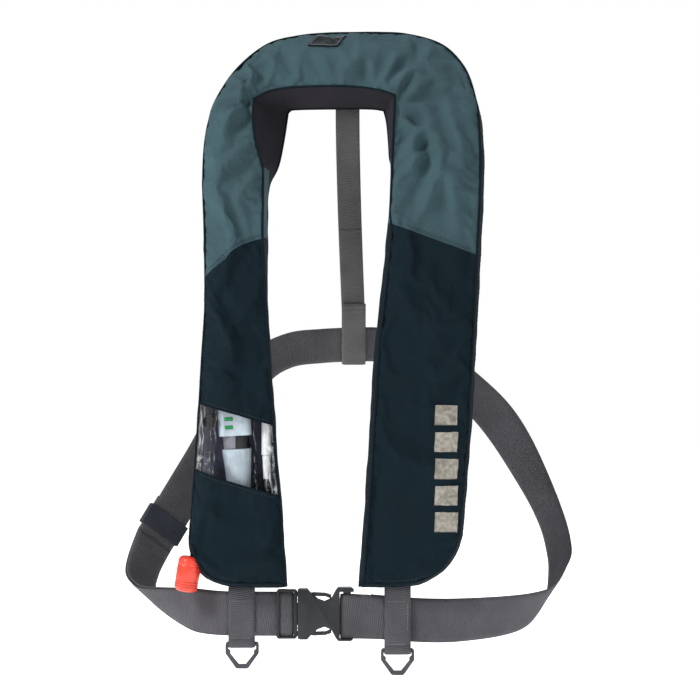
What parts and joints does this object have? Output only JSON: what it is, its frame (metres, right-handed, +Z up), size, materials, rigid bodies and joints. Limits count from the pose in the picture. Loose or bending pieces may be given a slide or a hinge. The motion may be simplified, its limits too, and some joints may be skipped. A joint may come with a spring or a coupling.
{
  "type": "inflatable life jacket",
  "caption": "Yoke-shaped inflatable life jacket: folded U-shaped bladder pouch with clear inflator window, pull handle, side-release waist belt, back strap and D-rings",
  "frame": {"origin": "Where the jacket rests on the neck: the underside of the collar's inner edge, at the middle of the neck opening", "axes": "+X the wearer's left, +Y towards the wearer's back, +Z up"},
  "size_m": [0.4691, 0.2149, 0.6685],
  "materials": {
    "teal_fabric": "dull woven nylon",
    "navy_fabric": "dull ribbed nylon",
    "charcoal_lining": "soft napped lining",
    "navy_piping": "bound tape",
    "zip_plastic": "moulded coil on tape",
    "clear_film": "clear flexible film",
    "badge_rubber": "moulded patch",
    "reflective_print": "heat-pressed reflective print",
    "bladder_fabric": "coated nylon",
    "silver_plastic": "metallic paint on plastic",
    "band_plastic": "smoked plastic",
    "green_plastic": "clear tinted",
    "black_plastic": "moulded",
    "cylinder_steel": "plated steel",
    "lanyard_cord": "braided cord",
    "red_plastic": "soft moulded grip",
    "white_plastic": "moulded",
    "hose_rubber": "smooth",
    "orange_plastic": "moulded",
    "grey_webbing": "ribbed woven webbing",
    "keeper_elastic": "woven elastic",
    "dark_plastic": "moulded acetal"
  },
  "bodies": {
    "jacket": {"cover_front_upper": "teal_fabric", "cover_front_right": "navy_fabric", "cover_front_left": "navy_fabric", "cover_back": "navy_fabric", "neck_lining": "charcoal_lining", "edge_piping": "navy_piping", "closure_zip": "zip_plastic", "window_film": "clear_film", "collar_badge": "badge_rubber", "reflective_bars": "reflective_print", "bladder": "bladder_fabric", "inflator_head": "silver_plastic", "inflator_band": "band_plastic", "status_indicators": "green_plastic", "inflator_manifold": "black_plastic", "manifold_nut": "black_plastic", "oral_tube": "white_plastic", "oral_tube_hose": "hose_rubber", "whistle": "orange_plastic", "back_strap": "grey_webbing", "back_strap_loop": "grey_webbing", "belt_front_left": "grey_webbing", "belt_back": "grey_webbing", "belt_side_right": "grey_webbing", "belt_tail": "grey_webbing", "tab_right": "grey_webbing", "tab_left": "grey_webbing", "buckle_socket": "dark_plastic"},
    "plug": {"buckle_plug": "dark_plastic", "belt_front_right": "grey_webbing"},
    "arm_upper": {"buckle_arm_upper": "dark_plastic"},
    "arm_lower": {"buckle_arm_lower": "dark_plastic"},
    "ring_right": {"d_ring_right": "dark_plastic"},
    "ring_left": {"d_ring_left": "dark_plastic"},
    "handle": {"pull_handle": "red_plastic", "pull_lanyard": "lanyard_cord"},
    "lever": {"firing_lever": "black_plastic"},
    "cylinder": {"gas_cylinder": "cylinder_steel"},
    "cap": {"inflator_cap": "silver_plastic"},
    "keeper": {"belt_keeper": "keeper_elastic"},
    "tube_cap": {"oral_tube_cap": "white_plastic"},
    "valve": {"oral_valve": "white_plastic"}
  },
  "joints": [
    {"name": "buckle_release", "type": "slide", "parent": "jacket", "child": "plug", "axis": [-1, 0, 0], "range_m": [0, 0.0213], "deforming": ["belt_side_right"]},
    {"name": "buckle_arm_upper_squeeze", "type": "hinge", "parent": "plug", "child": "arm_upper", "pos_m": [-0.0442, 0, -0.4976], "axis": [0, 1, 0], "range_deg": [0, 5], "stiffness_Nm_per_rad": 0.6},
    {"name": "buckle_arm_lower_squeeze", "type": "hinge", "parent": "plug", "child": "arm_lower", "pos_m": [-0.0442, 0, -0.5264], "axis": [0, -1, 0], "range_deg": [0, 5], "stiffness_Nm_per_rad": 0.6},
    {"name": "d_ring_right_swing", "type": "hinge", "parent": "jacket", "child": "ring_right", "pos_m": [-0.103, 0, -0.5426], "axis": [1, 0, 0], "range_deg": [-70, 70]},
    {"name": "d_ring_left_swing", "type": "hinge", "parent": "jacket", "child": "ring_left", "pos_m": [0.0555, 0, -0.5494], "axis": [1, 0, 0], "range_deg": [-70, 70]},
    {"name": "handle_pull", "type": "slide", "parent": "jacket", "child": "handle", "axis": [-0.16, 0, -0.9871], "range_m": [0, 0.016], "deforming": ["pull_lanyard"]},
    {"name": "firing_lever_turn", "type": "hinge", "parent": "jacket", "child": "lever", "pos_m": [-0.135, -0.005, -0.316], "axis": [0, 1, 0], "range_deg": [-120, 0]},
    {"name": "gas_cylinder_unscrew", "type": "hinge", "parent": "jacket", "child": "cylinder", "pos_m": [-0.109, -0.005, -0.33], "axis": [-0.061, 0, 0.9981], "range_deg": [0, 1800]},
    {"name": "inflator_cap_unscrew", "type": "hinge", "parent": "jacket", "child": "cap", "pos_m": [-0.109, -0.005, -0.33], "axis": [-0.061, 0, 0.9981], "range_deg": [-720, 0]},
    {"name": "keeper_slide", "type": "slide", "parent": "jacket", "child": "keeper", "axis": [-0.4851, -0.291, -0.8246], "range_m": [-0.02, 0]},
    {"name": "oral_tube_cap_pull", "type": "slide", "parent": "jacket", "child": "tube_cap", "axis": [0, 0, 1], "range_m": [0, 0.02]},
    {"name": "oral_valve_press", "type": "slide", "parent": "jacket", "child": "valve", "axis": [0, 0, -1], "range_m": [0, 0.0025], "stiffness_N_per_m": 300}
  ],
  "couplings": [
    {"joint": "firing_lever_turn", "follows": "handle_pull", "rad_per_m": -130.9}
  ]
}
